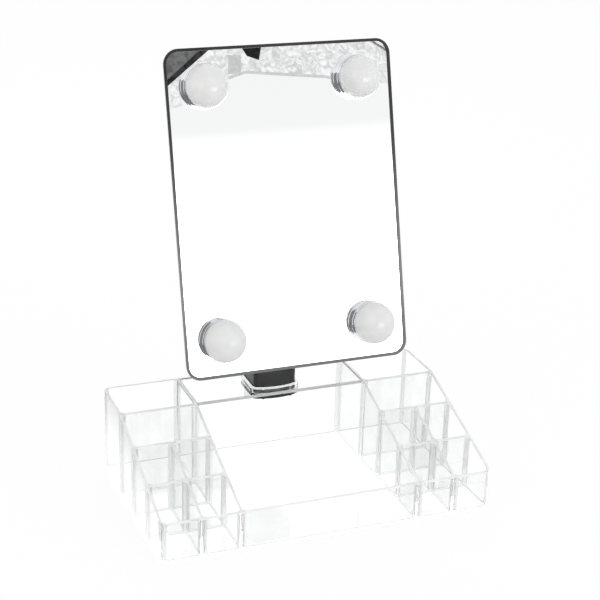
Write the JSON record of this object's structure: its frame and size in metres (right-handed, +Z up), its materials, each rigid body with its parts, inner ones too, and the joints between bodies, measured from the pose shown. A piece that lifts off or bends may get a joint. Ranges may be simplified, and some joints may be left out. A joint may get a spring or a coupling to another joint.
{
  "type": "make-up organizer with lighted mirror",
  "caption": "Clear compartment tray with sloping sides that carries a tilting and turning mirror with round bulbs on a black battery post.",
  "frame": {"origin": "middle of the tray's footprint, on the table top", "axes": "+X to the user's right, +Y to the back, +Z up"},
  "size_m": [0.3, 0.181, 0.3891],
  "materials": {
    "clear_plastic": "clear, polished",
    "soft_pad": "matte",
    "black_plastic": "satin",
    "zinc_screw": "plated",
    "contact_metal": "plated",
    "washer_plastic": "natural",
    "black_bracket": "satin black",
    "frame_black": "gloss",
    "mirror_glass": "silvered",
    "backing_board": "moulded",
    "battery_cell": "gloss wrap",
    "milky_plastic": "milky",
    "chrome": "polished",
    "bulb_board": "white solder mask",
    "white_plastic": "moulded",
    "wire": "insulated",
    "circuit_board": "solder mask",
    "button_grey": "moulded"
  },
  "bodies": {
    "tray": {"organizer_tray": "clear_plastic", "mirror_shelf": "clear_plastic"},
    "post": {"foot_pad": "soft_pad", "post_front_shell": "black_plastic", "post_rear_shell": "black_plastic", "post_screws": "zinc_screw", "cell_tray": "black_plastic", "cell_1": "battery_cell", "cell_2": "battery_cell", "cell_3": "battery_cell", "cell_4": "battery_cell", "cell_contacts": "contact_metal", "post_head": "black_plastic", "head_screws": "zinc_screw", "hinge_bolt": "zinc_screw", "hinge_nut": "zinc_screw", "hinge_washers": "washer_plastic"},
    "battery_door": {"battery_door": "black_plastic"},
    "bracket": {"tilt_bracket": "black_bracket", "turn_washers": "washer_plastic", "spindle_nut": "zinc_screw"},
    "mirror": {"mirror_frame": "frame_black", "mirror_glass": "mirror_glass", "backing_board": "backing_board", "rear_cover": "black_plastic", "cover_screws": "zinc_screw", "bulb_globe_1": "milky_plastic", "bulb_globe_2": "milky_plastic", "bulb_globe_3": "milky_plastic", "bulb_globe_4": "milky_plastic", "bulb_collar_1": "chrome", "bulb_collar_2": "chrome", "bulb_collar_3": "chrome", "bulb_collar_4": "chrome", "bulb_board_1": "bulb_board", "bulb_board_2": "bulb_board", "bulb_board_3": "bulb_board", "bulb_board_4": "bulb_board", "bulb_base_1": "white_plastic", "bulb_base_2": "white_plastic", "bulb_base_3": "white_plastic", "bulb_base_4": "white_plastic", "bulb_nuts": "zinc_screw", "bulb_wiring": "wire", "control_board": "circuit_board"},
    "dimmer_button": {"dimmer_button": "button_grey"}
  },
  "joints": [
    {"name": "post_lift", "type": "slide", "parent": "tray", "child": "post", "axis": [0, 0, 1], "range_m": [0, 0.01]},
    {"name": "battery_door_slide", "type": "slide", "parent": "post", "child": "battery_door", "axis": [0, 0, 1], "range_m": [0, 0.01]},
    {"name": "mirror_tilt", "type": "hinge", "parent": "post", "child": "bracket", "pos_m": [0, 0.066, 0.245], "axis": [-1, 0, 0], "range_deg": [-10, 45]},
    {"name": "mirror_turn", "type": "hinge", "parent": "bracket", "child": "mirror", "pos_m": [0, 0.02833, 0.25509], "axis": [0, -0.9659, 0.2588], "range_deg": [-90, 90]},
    {"name": "dimmer_press", "type": "slide", "parent": "mirror", "child": "dimmer_button", "axis": [0, -0.9659, 0.2588], "range_m": [0, 0.001], "stiffness_N_per_m": 400, "springref_m": -0.001}
  ]
}
